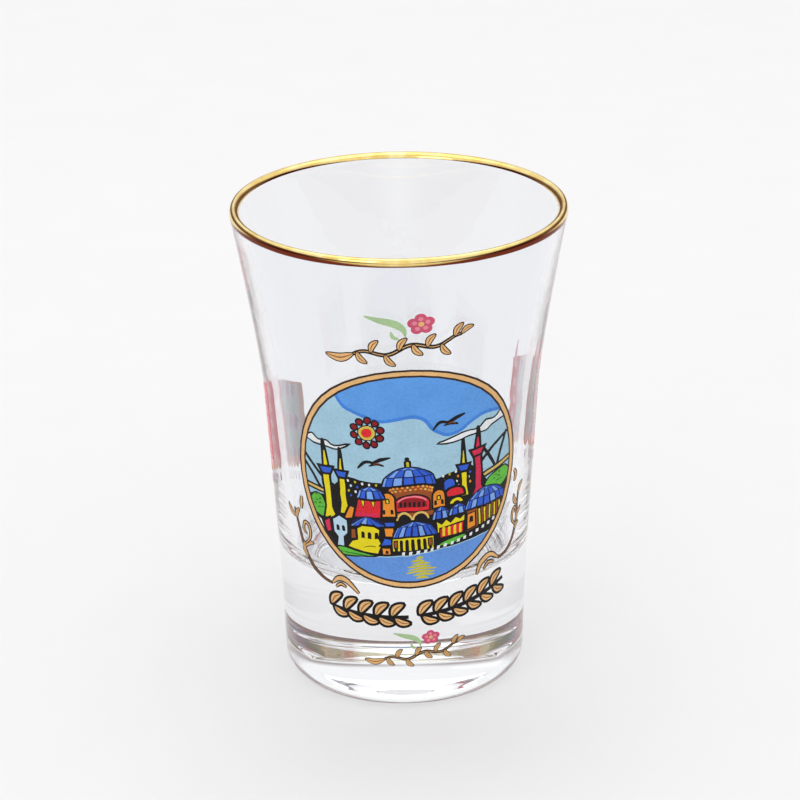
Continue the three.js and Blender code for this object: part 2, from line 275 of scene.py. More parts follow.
def glass_material():
    """Clear glass with the slow ripple of a pressed wall. Lamps shine through it with a little loss."""
    material, tree, shader = new_material("clear_glass")
    shader.inputs["Base Color"].default_value = (0.936, 0.948, 0.966, 1.0)
    shader.inputs["Roughness"].default_value = 0.0
    shader.inputs["IOR"].default_value = 1.5
    shader.inputs["Transmission Weight"].default_value = 1.0
    ripple = noise_node(tree, 90.0)
    tree.links.new(bump_node(tree, ripple, 0.0003, 0.12), shader.inputs["Normal"])
    path = tree.nodes.new("ShaderNodeLightPath")
    through = tree.nodes.new("ShaderNodeBsdfTransparent")
    through.inputs["Color"].default_value = (0.95, 0.95, 0.95, 1.0)
    mix = tree.nodes.new("ShaderNodeMixShader")
    tree.links.new(path.outputs["Is Shadow Ray"], mix.inputs[0])
    tree.links.new(shader.outputs[0], mix.inputs[1])
    tree.links.new(through.outputs[0], mix.inputs[2])
    tree.links.new(mix.outputs[0], tree.nodes["Material Output"].inputs["Surface"])
    return material


def gold_material():
    """Bright fired gold: warm, mirror-like and duller in patches. It is brown in a line along its lower edge,
    where it thins out, and on the four diagonals that brown widens into a painted reflection of the dim
    surroundings."""
    material, tree, shader = new_material("rim_gold")
    shader.inputs["Metallic"].default_value = 1.0
    patches = noise_node(tree, 420.0, 3.0)
    tone = tone_node(tree, patches, srgb(236, 198, 104), srgb(255, 236, 168), 0.3, 0.7)
    place = tree.nodes.new("ShaderNodeTexCoord")
    parts = tree.nodes.new("ShaderNodeSeparateXYZ")
    tree.links.new(place.outputs["Object"], parts.inputs[0])
    # Painted reflection: the brown edge is lifted on the four diagonals, where the gold would mirror the dim
    # surroundings.
    diagonal = math_node(tree, "MULTIPLY", parts.outputs["X"], parts.outputs["Y"])
    squared = math_node(tree, "MULTIPLY", diagonal, diagonal)
    shift = math_node(tree, "MULTIPLY", squared, 4 * GOLD_PAINTED_REFLECTION / (LIP_RADIUS**4 * MM**3))
    level = math_node(tree, "SUBTRACT", parts.outputs["Z"], shift)
    thin_edge_and_painted_reflection = tree.nodes.new("ShaderNodeMapRange")
    thin_edge_and_painted_reflection.inputs["From Min"].default_value = (HEIGHT - LIP_ROUND + GOLD_BROWN[1]) * MM
    thin_edge_and_painted_reflection.inputs["From Max"].default_value = (HEIGHT - LIP_ROUND + GOLD_BROWN[0]) * MM
    tree.links.new(level, thin_edge_and_painted_reflection.inputs["Value"])
    edge = tree.nodes.new("ShaderNodeMix")
    edge.data_type = "RGBA"
    edge.inputs["B"].default_value = srgb(114, 50, 32)
    tree.links.new(thin_edge_and_painted_reflection.outputs[0], edge.inputs["Factor"])
    tree.links.new(tone, edge.inputs["A"])
    tree.links.new(edge.outputs["Result"], shader.inputs["Base Color"])
    tree.links.new(span_node(tree, patches, 0.05, 0.12), shader.inputs["Roughness"])
    grain = noise_node(tree, 4000.0, 2.0)
    tree.links.new(bump_node(tree, grain, 0.00001, 0.12), shader.inputs["Normal"])
    return material


def gold_back_material():
    """The side of the gold that faces the glass: a pale mirror, as smooth as the glass that it bonded to."""
    material, tree, shader = new_material("gold_back")
    shader.inputs["Metallic"].default_value = 1.0
    patches = noise_node(tree, 420.0, 3.0)
    tone = tone_node(tree, patches, srgb(246, 240, 216), srgb(254, 250, 236))
    tree.links.new(tone, shader.inputs["Base Color"])
    tree.links.new(span_node(tree, patches, 0.04, 0.1), shader.inputs["Roughness"])
    return material


INKS = {
    "sky": (165, 205, 225),
    "cloud": (95, 160, 235),
    "cloud_edge": (66, 132, 222),
    "white": (236, 242, 244),
    "sea": (100, 150, 225),
    "glint": (200, 190, 40),
    "black": (16, 12, 12),
    "navy": (18, 26, 84),
    "dome": (48, 96, 212),
    "dome_light": (124, 170, 240),
    "yellow": (232, 216, 24),
    "tan": (222, 188, 104),
    "orange": (238, 146, 44),
    "brown": (152, 78, 34),
    "red": (222, 38, 50),
    "crimson": (216, 42, 84),
    "dark_red": (140, 22, 34),
    "green": (96, 190, 60),
    "dark_green": (34, 104, 52),
    "pale": (188, 216, 236),
    "gold": (234, 186, 124),
    "gold_shade": (150, 98, 58),
    "dark_brown": (48, 32, 24),
    "leaf": (172, 202, 152),
    "rose": (208, 86, 116),
    "rose_light": (232, 140, 158),
    # The rug inks are lighter than the print's own colours: painted light, standing in for lamp light that
    # shines through the thin print from behind.
    "rug_red": (238, 112, 126),
    "rug_pink": (255, 190, 200),
    "rug_grey": (206, 206, 216),
    "rug_green": (186, 212, 200),
    "rug_tan": (226, 186, 176),
    "rug_orange": (244, 158, 124),
    "rug_mauve": (194, 160, 184),
}


def ink_material(name):
    """Fired ceramic ink: glossy, slightly grainy and uneven in tone."""
    if name in bpy.data.materials:
        return bpy.data.materials[name]
    material, tree, shader = new_material(name)
    colour = srgb(*INKS[name])
    grain = noise_node(tree, 2600.0, 3.0)
    wash = noise_node(tree, 260.0, 2.0)
    speckle = span_node(tree, grain, -0.05, 0.05)
    brightness = math_node(tree, "ADD", speckle, span_node(tree, wash, 0.94, 1.06))
    tone = tree.nodes.new("ShaderNodeVectorMath")
    tone.operation = "SCALE"
    tone.inputs[0].default_value = colour[:3]
    tree.links.new(brightness, tone.inputs["Scale"])
    tree.links.new(tone.outputs[0], shader.inputs["Base Color"])
    tree.links.new(span_node(tree, grain, 0.22, 0.36), shader.inputs["Roughness"])
    shader.inputs["Specular IOR Level"].default_value = 0.2
    tree.links.new(bump_node(tree, grain, 0.00001, 0.25), shader.inputs["Normal"])
    return material


# ---- the glass and its gold ----


def glass_body():
    """The pressed glass: punt, foot ring, heel, wall, lip, bore and dished floor, as one closed skin."""
    sphere = (PUNT_RADIUS**2 + PUNT_DEPTH**2) / (2 * PUNT_DEPTH)
    reach = math.asin(PUNT_RADIUS / sphere)
    punt = arc(0.0, PUNT_DEPTH - sphere, sphere, math.pi / 2, math.pi / 2 - reach, 14)
    heel = arc(wall_radius(HEEL_RADIUS) - HEEL_RADIUS, HEEL_RADIUS, HEEL_RADIUS, -math.pi / 2, 0.0, 20)
    outside = wall_line(wall_radius, HEEL_RADIUS, HEIGHT - LIP_ROUND, 84)
    lip = lip_line(0.0, 14)
    corner_top = FLOOR_HEIGHT + CORNER_RADIUS
    inside = wall_line(bore_radius, HEIGHT - LIP_WALL / 2, corner_top, 60)
    corner_r = bore_radius(corner_top) - CORNER_RADIUS
    corner = arc(corner_r, corner_top, CORNER_RADIUS, 0.0, -math.pi / 2, 18)
    floor = []
    for i in range(1, 11):
        t = 1 - i / 10
        floor.append((corner_r * t, FLOOR_HEIGHT - FLOOR_DISH * (1 - t * t)))
    profile = punt + heel + outside[1:] + lip[1:] + inside[1:] + corner[1:] + floor
    piece = turned("pressed_glass", profile, GLASS_STEPS)
    piece.data.materials.append(glass_material())
    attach(piece, "root")
    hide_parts("glass_body")


def gold_band():
    """The gold over the lip, with the slightly uneven edges of a brushed band."""
    profile = lip_line(GOLD_PROUD, 16) + lip_line(-GOLD_SUNK, 16)[::-1]
    piece = turned("gold_rim", profile, GOLD_STEPS, closed=True)
    lower = (HEIGHT - LIP_WALL / 2) * MM
    for vert in piece.data.vertices:
        if vert.co.z < lower:
            depth = (lower - vert.co.z) / (LIP_ROUND * MM)
            wave = noise.noise(Vector((vert.co.x, vert.co.y, 0.0)) * GOLD_WAVES)
            vert.co.z += GOLD_WAVER * MM * depth * wave
    piece.data.materials.append(gold_material())
    piece.data.materials.append(gold_back_material())
    backs = range((len(profile) // 2) * GOLD_STEPS, (len(profile) - 1) * GOLD_STEPS)
    for i in backs:
        piece.data.polygons[i].material_index = 1
    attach(piece, "root")
    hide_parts("rim_band")


# ---- drawing on the flat: u to the right and v up, seen from outside ----


def ellipse(u, v, half, rise, start=0.0, end=360.0):
    """Points of an elliptical arc; a whole turn leaves out the repeated last point."""
    steps = max(6, round(abs(end - start) / 360 * (10 + 6 * math.sqrt(half + rise))))
    angles = [(start + (end - start) * i / steps) * DEG for i in range(steps + 1)]
    points = [(u + half * math.cos(a), v + rise * math.sin(a)) for a in angles]
    return points[:-1] if abs(end - start) == 360 else points


def rect(left, bottom, right, top):
    """The corners of an upright rectangle."""
    return [(left, bottom), (right, bottom), (right, top), (left, top)]


def arched(u, base, half, shoulder, rise=None):
    """A block or window with a round top."""
    return [(u - half, base), (u + half, base)] + ellipse(u, shoulder, half, rise or half, 0, 180)


def through(points, closed=False, steps=5):
    """A smooth curve through the points."""
    def between(a, b, c, d, t):
        straight = 2 * b + (c - a) * t
        return 0.5 * (straight + (2 * a - 5 * b + 4 * c - d) * t * t + (3 * b - a - 3 * c + d) * t**3)

    count = len(points)
    curve = []
    for i in range(count if closed else count - 1):
        if closed:
            p0, p1, p2, p3 = (points[(i + k) % count] for k in (-1, 0, 1, 2))
        else:
            p0, p1, p2, p3 = (points[min(max(i + k, 0), count - 1)] for k in (-1, 0, 1, 2))
        for n in range(steps):
            curve.append(tuple(between(*four, n / steps) for four in zip(p0, p1, p2, p3)))
    return curve if closed else curve + [points[-1]]


def band(points, width, ends=1.0):
    """The outline of a brush line along the points; ends is its width at both ends over its full width."""
    left, right = [], []
    last = len(points) - 1
    for i, (u, v) in enumerate(points):
        (u0, v0), (u1, v1) = points[max(i - 1, 0)], points[min(i + 1, last)]
        length = math.hypot(u1 - u0, v1 - v0)
        half = width / 2 * (ends + (1 - ends) * math.sin(math.pi * i / last))
        du, dv = -(v1 - v0) / length * half, (u1 - u0) / length * half
        left.append((u + du, v + dv))
        right.append((u - du, v - dv))
    return right + left[::-1]


def wound(outline):
    """The outline anticlockwise, without repeated points."""
    points = [p for p, q in zip(outline, outline[1:] + outline[:1]) if math.dist(p, q) > 1e-3]
    area = sum(a[0] * b[1] - b[0] * a[1] for a, b in zip(points, points[1:] + points[:1]))
    return points if area > 0 else points[::-1]


def grown(outline, by):
    """The outline moved outwards by a distance, or inwards by a negative one."""
    points = wound(outline)
    moved = []
    for before, here, after in zip(points[-1:] + points[:-1], points, points[1:] + points[:1]):
        normals = []
        for a, b in ((before, here), (here, after)):
            length = math.hypot(b[0] - a[0], b[1] - a[1])
            normals.append(((b[1] - a[1]) / length, (a[0] - b[0]) / length))
        nu, nv = normals[0][0] + normals[1][0], normals[0][1] + normals[1][1]
        size = max(math.hypot(nu, nv), 1e-6)
        reach = by / max(size / 2, 0.5)
        moved.append((here[0] + nu / size * reach, here[1] + nv / size * reach))
    return moved


def hand_drawn(u, v):
    """Moves a point by the slow wander of a drawing hand."""
    slow = noise.noise_vector(Vector((u * 0.4, v * 0.4, 3.0)))
    quick = noise.noise_vector(Vector((u * 1.5, v * 1.5, 7.0)))
    return u + 0.16 * slow.x + 0.06 * quick.x, v + 0.16 * slow.y + 0.06 * quick.y


class Transfer:
    """A printed transfer at one site: flat outlines in print order, where a later one covers an earlier one.

    press() cuts them all to what shows, so that the inks lie side by side on the glass, and bends them onto
    the wall as one thin solid for each piece."""

    def __init__(self, site, scale=1.0, drawn=True):
        self.angle, self.z, self.tilt = site
        self.scale, self.drawn, self.shapes = scale, drawn, []

    def fill(self, piece, ink, outline, drawn=None):
        """Prints an outline filled with one ink, as part of a piece."""
        points = wound(outline)
        fine = []
        for (u0, v0), (u1, v1) in zip(points, points[1:] + points[:1]):
            steps = max(1, math.ceil(math.hypot(u1 - u0, v1 - v0) * self.scale / INK_STEP))
            fine += [(u0 + (u1 - u0) * i / steps, v0 + (v1 - v0) * i / steps) for i in range(steps)]
        if self.drawn if drawn is None else drawn:
            fine = [hand_drawn(u, v) for u, v in fine]
        self.shapes.append((piece, ink, [(u * self.scale, v * self.scale) for u, v in fine]))

    def edged(self, piece, ink, outline, line=0.38):
        """A filled outline inside a black line."""
        self.fill("town_silhouette", "black", grown(outline, line / 2))
        self.fill(piece, ink, grown(outline, -line / 2))

    def line(self, piece, ink, points, width, ends=1.0):
        """Prints a brush line along the points."""
        self.fill(piece, ink, band(points, width, ends))

    def ring(self, piece, ink, inner, outer):
        """A round band about the site, in two halves."""
        for start in (0, 180):
            outside = ellipse(0, 0, outer, outer, start, start + 180)
            inside = ellipse(0, 0, inner, inner, start + 180, start)
            self.fill(piece, ink, outside + inside, drawn=False)

    def on_wall(self, u, v, proud):
        """The place, in metres, of a flat point that stands proud of the wall."""
        cos, sin = math.cos(self.tilt), math.sin(self.tilt)
        angle = self.angle + (u * cos - v * sin) / wall_radius(self.z)
        z = self.z + u * sin + v * cos
        radius = wall_radius(z) + proud
        return (radius * math.sin(angle) * MM, -radius * math.cos(angle) * MM, z * MM)

    def press(self):
        """Makes the pieces. A piece named after a CAD node stands in for it, and that node is hidden."""
        points, loops = [], []
        for _, _, outline in self.shapes:
            loops.append(list(range(len(points), len(points) + len(outline))))
            points += [Vector(p) for p in outline]
        low = [min(p[k] for p in points) for k in (0, 1)]
        high = [max(p[k] for p in points) for k in (0, 1)]
        columns, rows = (int((high[k] - low[k]) / INK_GRID) for k in (0, 1))
        for i in range(1, columns + 1):
            for j in range(1, rows + 1):
                points.append(Vector((low[0] + i * INK_GRID, low[1] + (j + 0.5 * (i % 2)) * INK_GRID)))
        flat, _, triangles, _, _, covers = delaunay_2d_cdt(points, [], loops, 1, 1e-4)
        shown = {}
        for triangle, cover in zip(triangles, covers):
            piece, ink, _ = self.shapes[max(cover)] if cover else (None, None, None)
            if piece:
                shown.setdefault(piece, []).append((ink, triangle))
        for piece, inked in shown.items():
            self.solid(piece, flat, inked)

    def solid(self, name, flat, inked):
        """One thin closed piece from its share of the flat triangles."""
        used = sorted({corner for _, triangle in inked for corner in triangle})
        place = {corner: i for i, corner in enumerate(used)}
        verts = [self.on_wall(*flat[corner], INK_PROUD) for corner in used]
        verts += [self.on_wall(*flat[corner], -INK_SUNK) for corner in used]
        back = len(used)
        inks = sorted({ink for ink, _ in inked})
        faces, slots, edges = [], [], {}
        for ink, triangle in inked:
            a, b, c = (place[corner] for corner in triangle)
            faces += [(a, b, c), (c + back, b + back, a + back)]
            slots += [inks.index(ink)] * 2
            for start, end in ((a, b), (b, c), (c, a)):
                edges[start, end] = inks.index(ink)
        for (start, end), ink in edges.items():
            if (end, start) not in edges:
                faces.append((end, start, start + back, end + back))
                slots.append(ink)
        piece = made(f"{name}_print", verts, faces)
        for ink in inks:
            piece.data.materials.append(ink_material(ink))
        piece.data.polygons.foreach_set("material_index", slots)
        piece.data.set_sharp_from_angle(angle=40 * DEG)
        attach(piece, "root")
        if name in SLOTS:
            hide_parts(name)


# ---- the round picture: a small domed town by the water ----

SHORE = [
    (-17.0, -12.4), (-11.4, -12.3), (-5.8, -12.1), (-0.5, -12.0), (5.0, -11.6), (11.4, -11.0), (17.0, -9.8),
]


def dome(t, piece, u, v, half, rise, columns, rows, line=0.2):
    """A ribbed dome: a dark cap with a grid of blue panes, some of them brighter towards the left."""
    def at(across, up):
        side = math.sin(across * math.pi / 2) * math.cos(up * math.pi / 2)
        return u + half * side, v + rise * math.sin(up * math.pi / 2)

    t.fill("town_silhouette", "black", grown(ellipse(u, v - 0.02, half, rise, 0, 180), 0.2))
    t.fill(piece, "navy", ellipse(u, v, half, rise, 0, 180))
    gap = line / half / 2
    for j in range(rows):
        low, high = j / rows + 0.02, min((j + 1) / rows, 0.96) - gap * 0.8
        for i in range(columns):
            left, right = (2 * n / columns - 1 for n in (i, i + 1))
            pane = [at(left + gap, low), at(right - gap, low), at(right - gap, high), at(left + gap, high)]
            bright = (i * 3 + j * 2) % 5 < 2 and i < columns * 0.7
            t.fill(piece, "dome_light" if bright else "dome", pane)


def windows(t, piece, ink, left, right, base, count, half, tall):
    """A row of round-topped openings between two ends."""
    for i in range(count):
        u = left + (right - left) * (i + 0.5) / count
        t.fill(piece, ink, arched(u, base, half, base + tall - half))


def sky(t):
    """The pale sky, and the blue cloud over it with its darker lower edge."""
    t.fill("picture_sky", "sky", ellipse(0, 0, 16.4, 16.4), drawn=False)
    edge = through([
        (-9.8, 13.6), (-8.4, 11.2), (-6.3, 10.1), (-3.8, 9.1), (-1.2, 9.4), (0.8, 9.6), (2.6, 8.7),
        (3.7, 7.1), (5.4, 6.1), (7.5, 6.4), (9.5, 7.5), (12.0, 8.0), (16.6, 7.6),
    ])
    t.fill("cloud_band", "cloud", edge + [(18.0, 12.0), (10.0, 18.0), (-6.0, 18.0)])
    t.line("cloud_band", "cloud_edge", [(u, v + 0.3) for u, v in edge], 0.5)


def wisps(t):
    """A thin white cloud at either side, in a black line."""
    left = through([
        (-16.8, 6.4), (-15.2, 6.2), (-14.2, 6.5), (-13.2, 5.7), (-11.8, 5.8), (-10.8, 5.2), (-8.2, 5.6),
        (-10.2, 4.7), (-11.6, 4.8), (-12.8, 4.9), (-14.0, 5.0), (-15.4, 5.5), (-16.8, 5.4),
    ], closed=True, steps=3)
    right = through([
        (4.0, 5.1), (6.2, 5.8), (8.4, 6.3), (10.2, 6.2), (11.6, 7.1), (13.2, 7.0), (14.6, 8.0), (17.0, 8.2),
        (16.6, 6.9), (14.2, 6.4), (12.6, 6.0), (11.4, 5.4), (9.0, 5.4), (7.0, 5.0),
    ], closed=True, steps=3)
    for wisp in (left, right):
        t.edged("picture_sky", "white", wisp, 0.26)


def sun(t):
    """Ten round petals about a red heart."""
    u, v = -5.55, 7.55
    for i in range(10):
        a = (i + 0.3) * 36 * DEG
        petal = ellipse(u + 1.95 * math.cos(a), v + 1.95 * math.sin(a), 0.48, 0.48)
        t.fill("sun", "black", grown(petal, 0.14))
        stalk = [(u + reach * math.cos(a), v + reach * math.sin(a)) for reach in (1.0, 2.0)]
        t.line("sun", "black", stalk, 0.34)
        t.fill("sun", "dark_red", grown(petal, -0.1))
    t.fill("sun", "black", ellipse(u, v, 1.36, 1.3))
    t.fill("sun", "tan", ellipse(u, v, 1.2, 1.15))
    t.fill("sun", "glint", ellipse(u, v, 1.0, 0.95))
    t.fill("sun", "red", ellipse(u, v, 0.78, 0.74))


def bird(t, piece, u, v):
    """A gull: two bent wings and a short body."""
    t.line(piece, "black", through([(u - 2.4, v - 0.8), (u - 1.3, v + 0.25), (u + 0.1, v)]), 0.5, 0.35)
    t.line(piece, "black", through([(u - 0.5, v - 0.1), (u + 0.7, v + 0.5), (u + 2.3, v + 0.9)]), 0.6, 0.35)
    t.line(piece, "black", through([(u - 0.8, v - 0.35), (u + 0.3, v - 0.1), (u + 1.3, v - 0.4)]), 0.42, 0.4)
    t.line(piece, "brown", [(u - 0.2, v - 0.12), (u + 0.4, v + 0.02), (u + 0.9, v - 0.2)], 0.16, 0.5)


def bridge(t):
    """Hung roadways that run off at both sides."""
    for points in (
        [(-16.4, 3.6), (-13.6, 0.4), (-10.6, -1.8)], [(-16.4, 2.0), (-14.6, -0.4), (-13.2, -2.6)],
        [(10.9, 3.2), (12.4, 0.8), (13.8, -1.6)], [(15.6, 4.2), (14.4, 1.4), (13.4, -1.8)],
        [(10.6, 0.6), (13.0, 2.6), (15.8, 4.0)],
    ):
        t.line("town_silhouette", "black", through(points), 0.5)
    t.edged("town_silhouette", "tan", band([(-17.0, -1.7), (-13.6, -2.2), (-9.6, -2.8)], 0.7), 0.3)
    t.edged("town_silhouette", "tan", band([(9.8, -1.9), (13.2, -1.1), (17.0, -0.2)], 0.7), 0.3)


def backdrop(t):
    """The dark hill behind the town, with its lit windows."""
    hill = [
        (-17.0, -3.4), (-13.2, -2.8), (-9.4, 0.6), (-7.4, 0.1), (-4.2, -0.4), (-2.0, 0.4), (2.0, 0.2),
        (3.8, -0.3), (5.4, 0.3), (7.0, 0.4), (9.0, 0.9), (10.6, -0.6), (11.6, -2.4), (17.0, -3.0),
        (17.0, -9.6),
    ]
    t.fill("town_silhouette", "black", hill + [(u, v + 0.15) for u, v in SHORE[::-1]])
    for left, right, top in ((-9.4, -4.2, -0.2), (4.4, 9.2, 0.0)):
        for j in range(4):
            for i in range(5):
                u = left + (right - left) * (i + 0.35 + 0.3 * (j % 2)) / 5
                v = top - 0.75 * j - 0.12 * i * (1 if left < 0 else -1)
                ink = ("white", "pale", "glint", "dome", "white", "orange")[(i * 2 + j) % 6]
                t.fill("town_silhouette", ink, ellipse(u, v, 0.17, 0.2))


def tower(t, piece, ink, ledge, u, base, balcony, tip, width, foot):
    """A slim tower: a spreading foot, a shaft, a ledge like a cup, and a pointed top."""
    half = width / 2
    top = balcony + 0.9
    t.edged(piece, ink, [
        (u - foot, base), (u + foot, base), (u + half, base + 1.9), (u + half, balcony + 0.2),
        (u - half, balcony + 0.2), (u - half, base + 1.9),
    ])
    spire = [(u - 0.8 * half, top - 0.2), (u + 0.8 * half, top - 0.2), (u + 0.1, tip), (u - 0.1, tip)]
    t.edged(piece, ink, spire)
    t.line("town_silhouette", "black", [(u, tip - 1.6), (u, tip + 0.3)], 0.34, 0.8)
    t.edged(piece, ledge, [
        (u - 0.55 * width, balcony - 0.3), (u + 0.55 * width, balcony - 0.3),
        (u + width, top), (u - width, top),
    ])


def great_hall(t):
    """The main dome on its arched front, between two turrets."""
    t.edged("central_dome", "glint", arched(-0.3, 1.8, 0.34, 2.8), 0.3)
    t.fill("town_silhouette", "black", ellipse(-0.3, 3.4, 0.34, 0.3))
    dome(t, "central_dome", -0.2, -1.0, 3.8, 3.0, 7, 3)
    front = [(-3.5, -6.0), (3.3, -6.0), (3.3, -1.5)] + ellipse(-0.1, -1.5, 3.4, 0.75, 0, 180)
    t.edged("facade", "brown", front)
    for row, (v, rise) in enumerate(((-1.75, 0.7), (-2.25, 0.75))):
        for i in range(11):
            a = (18 + 144 * (i + 0.5 * row) / 11) * DEG
            spot = ellipse(-0.1 + 3.3 * math.cos(a), v + rise * math.sin(a), 0.19, 0.17)
            t.fill("facade", "orange" if (i + row) % 3 else "tan", spot)
    gate = [(-2.6, -5.0), (2.6, -5.0), (2.6, -3.6)] + ellipse(0, -3.6, 2.6, 1.25, 0, 180)
    t.edged("facade", "red", gate, 0.26)
    t.line("facade", "rose_light", ellipse(0, -3.55, 2.1, 0.9, 12, 168), 0.2)
    shade = [(-2.2, -4.35), (2.2, -4.35), (2.0, -3.4)] + ellipse(0, -3.45, 1.95, 0.55, 0, 180)
    t.fill("facade", "dark_red", shade)
    windows(t, "facade", "black", -2.0, 2.0, -4.3, 6, 0.17, 0.85)
    for u in (-1.2, 1.2):
        t.fill("facade", "tan", ellipse(u, -6.3, 1.25, 1.3, 0, 180))
        t.fill("town_silhouette", "black", ellipse(u, -6.4, 1.0, 1.05, 0, 180))
    for piece, u, base, half, top in (
        ("turret_left", -3.5, -5.8, 1.1, -1.8), ("turret_right", 3.9, -5.0, 0.95, -2.0),
    ):
        t.edged(piece, "orange", arched(u, base, half, top - half, half), 0.32)
        windows(t, piece, "black", u - half, u + half, base + 0.5, 2, 0.19, 0.8)
        t.fill(piece, "black", arched(u, top - 1.75, 0.3, top - 1.2))
        t.fill(piece, "yellow", arched(u, top - 1.65, 0.13, top - 1.25))


def left_quarter(t):
    """The red drum with its dome, the yellow house with its long roof, and the houses at the edge."""
    t.edged("left_drum", "orange", [(-10.4, -6.4), (-8.2, -6.0), (-8.0, -4.4), (-9.2, -4.0)])
    t.edged("left_drum", "red", [(-8.8, -5.9), (-4.5, -5.9), (-4.3, -2.9), (-7.9, -2.9)])
    t.fill("left_drum", "crimson", [(-8.2, -5.6), (-5.0, -5.6), (-5.2, -5.0), (-8.0, -5.0)])
    for u in (-7.1, -5.6):
        t.edged("left_drum", "yellow", [(u - 0.3, -3.1), (u, -4.2), (u + 0.3, -3.1)], 0.14)
    dome(t, "left_dome", -5.9, -2.8, 2.0, 1.9, 5, 2)
    t.edged("left_drum", "orange", rect(-4.3, -8.9, -2.8, -7.4), 0.26)
    t.edged("left_dome", "dome", rect(-4.6, -7.3, -2.6, -6.5), 0.26)
    dome(t, "yellow_house_roof", -6.7, -7.2, 2.6, 1.5, 6, 1)
    t.edged("left_drum", "brown", rect(-9.4, -9.4, -8.3, -7.7), 0.26)
    t.edged("yellow_house", "yellow", [
        (-10.2, -10.7), (-9.3, -9.6), (-8.5, -9.4), (-8.5, -7.6), (-7.6, -7.0), (-5.8, -7.0), (-4.8, -7.6),
        (-5.1, -9.0), (-4.7, -10.2), (-5.4, -11.7), (-7.6, -11.4),
    ])
    windows(t, "town_silhouette", "black", -8.0, -5.0, -9.1, 3, 0.28, 1.05)
    t.line("town_silhouette", "black", [(-7.4, -10.6), (-6.4, -10.3), (-5.6, -10.4)], 0.16, 0.5)
    t.edged("pale_house", "pale", [
        (-12.3, -8.6), (-12.3, -6.5), (-11.0, -5.7), (-9.7, -6.4), (-9.8, -8.6), (-10.5, -9.2),
        (-10.5, -10.9), (-12.0, -10.8), (-11.7, -9.3),
    ])
    windows(t, "town_silhouette", "black", -11.9, -10.1, -8.2, 2, 0.26, 0.9)
    t.edged("left_drum", "crimson", [(-13.5, -8.9), (-13.9, -7.0), (-12.6, -6.4), (-12.5, -8.6)])
    bank = [(-15.6, -6.2), (-14.2, -6.9), (-13.5, -9.4), (-12.4, -11.2), (-14.4, -11.6)]
    t.edged("pale_house", "white", bank, 0.2)


def right_quarter(t):
    """The small domes, the zigzag roofs and the great ribbed dome on its pillars."""
    t.edged("right_dome", "dome", arched(5.6, -2.4, 0.9, -1.4, 0.9), 0.3)
    t.edged("right_pillars", "red", [(5.0, -3.6), (7.9, -3.6)] + ellipse(6.4, -3.0, 1.5, 1.0, 0, 180))
    t.edged("right_pillars", "yellow", ellipse(6.5, -4.8, 1.15, 1.1, 0, 180), 0.26)
    t.fill("town_silhouette", "black", ellipse(6.5, -4.9, 0.6, 0.6, 0, 180))
    t.edged("right_pillars", "yellow", [
        (3.4, -9.0), (3.3, -7.0), (4.1, -7.6), (4.8, -6.9), (5.5, -7.5), (6.3, -6.8), (7.0, -7.3),
        (7.8, -6.7), (7.7, -8.9),
    ], 0.24)
    t.edged("right_pillars", "red", [(3.8, -9.9), (3.8, -8.3), (5.6, -8.0), (7.6, -7.9), (7.6, -9.6)], 0.24)
    windows(t, "right_pillars", "yellow", 4.0, 7.5, -9.6, 4, 0.2, 1.5)
    dome(t, "small_domes", 4.2, -6.7, 1.3, 1.7, 4, 2)
    dome(t, "small_domes", 6.7, -6.5, 1.4, 1.5, 4, 2)
    t.edged("right_pillars", "brown", [(7.9, -9.9), (14.2, -8.7), (14.8, -6.0), (8.0, -6.2)])
    t.edged("right_pillars", "orange", [(8.2, -9.5), (9.6, -9.2), (9.6, -6.9), (8.2, -7.0)], 0.2)
    windows(t, "town_silhouette", "black", 8.4, 9.4, -8.4, 1, 0.3, 1.0)
    for i in range(5):
        u = 10.3 + 0.95 * i
        t.edged("right_pillars", "yellow", rect(u - 0.24, -9.3 + 0.16 * i, u + 0.24, -6.6), 0.2)
    dome(t, "right_dome", 11.6, -6.3, 3.7, 2.7, 9, 3)


def waterfront(t):
    """The front dome on its colonnade, the lawns and the rail along the water."""
    t.edged("colonnade", "yellow", rect(-3.3, -11.3, 2.9, -9.1), 0.26)
    windows(t, "town_silhouette", "black", -3.1, 2.7, -11.2, 7, 0.25, 1.75)
    for u in (-2.7, 2.3):
        t.edged("colonnade", "brown", rect(u - 0.3, -10.7, u + 0.3, -9.5), 0.16)
    dome(t, "front_dome", 0.15, -9.0, 3.2, 2.3, 9, 2)
    t.edged("front_dome", "dome", [(-5.1, -10.3), (-4.4, -9.0), (-3.4, -9.2), (-3.3, -10.2)], 0.26)
    t.edged("colonnade", "orange", rect(-4.9, -11.7, -3.6, -10.6), 0.24)
    t.fill("town_silhouette", "black", arched(-4.2, -11.5, 0.22, -11.2))
    for lawn in (
        [(-12.6, -11.2), (-10.8, -10.8), (-8.2, -11.3), (-5.6, -11.9), (-7.6, -12.0), (-11.6, -12.1)],
        [(3.6, -11.0), (5.2, -10.2), (7.9, -9.9), (7.4, -10.5), (5.0, -11.2)],
    ):
        t.edged("lawns", "green", through(lawn, closed=True, steps=3), 0.22)
    t.line("lawns", "dark_green", [(-11.4, -11.6), (-9.0, -11.7), (-6.8, -11.9)], 0.18, 0.4)
    for i in range(15):
        u = -1.6 + 1.04 * i
        v = -11.85 + 0.13 * max(0.0, u - 1.0) + 0.009 * max(0.0, u - 3.0) ** 2
        t.fill("rail", "white", [(u - 0.3, v), (u + 0.14, v), (u + 0.26, v + 0.5), (u - 0.2, v + 0.46)])


def shrub(t, piece, points):
    """A green thicket, in a black line, with darker leaves."""
    t.edged(piece, "green", through(points, closed=True, steps=3), 0.24)
    u = sum(p[0] for p in points) / len(points)
    v = sum(p[1] for p in points) / len(points)
    for i in range(7):
        du, dv = 0.85 * math.cos(i * 2.4) * (0.3 + i / 8), 1.2 * math.sin(i * 2.4) * (0.3 + i / 8)
        fleck = [(u + du - 0.25, v + dv), (u + du, v + dv + 0.2), (u + du + 0.25, v + dv)]
        t.line(piece, "dark_green" if i % 3 else "black", fleck, 0.2, 0.5)


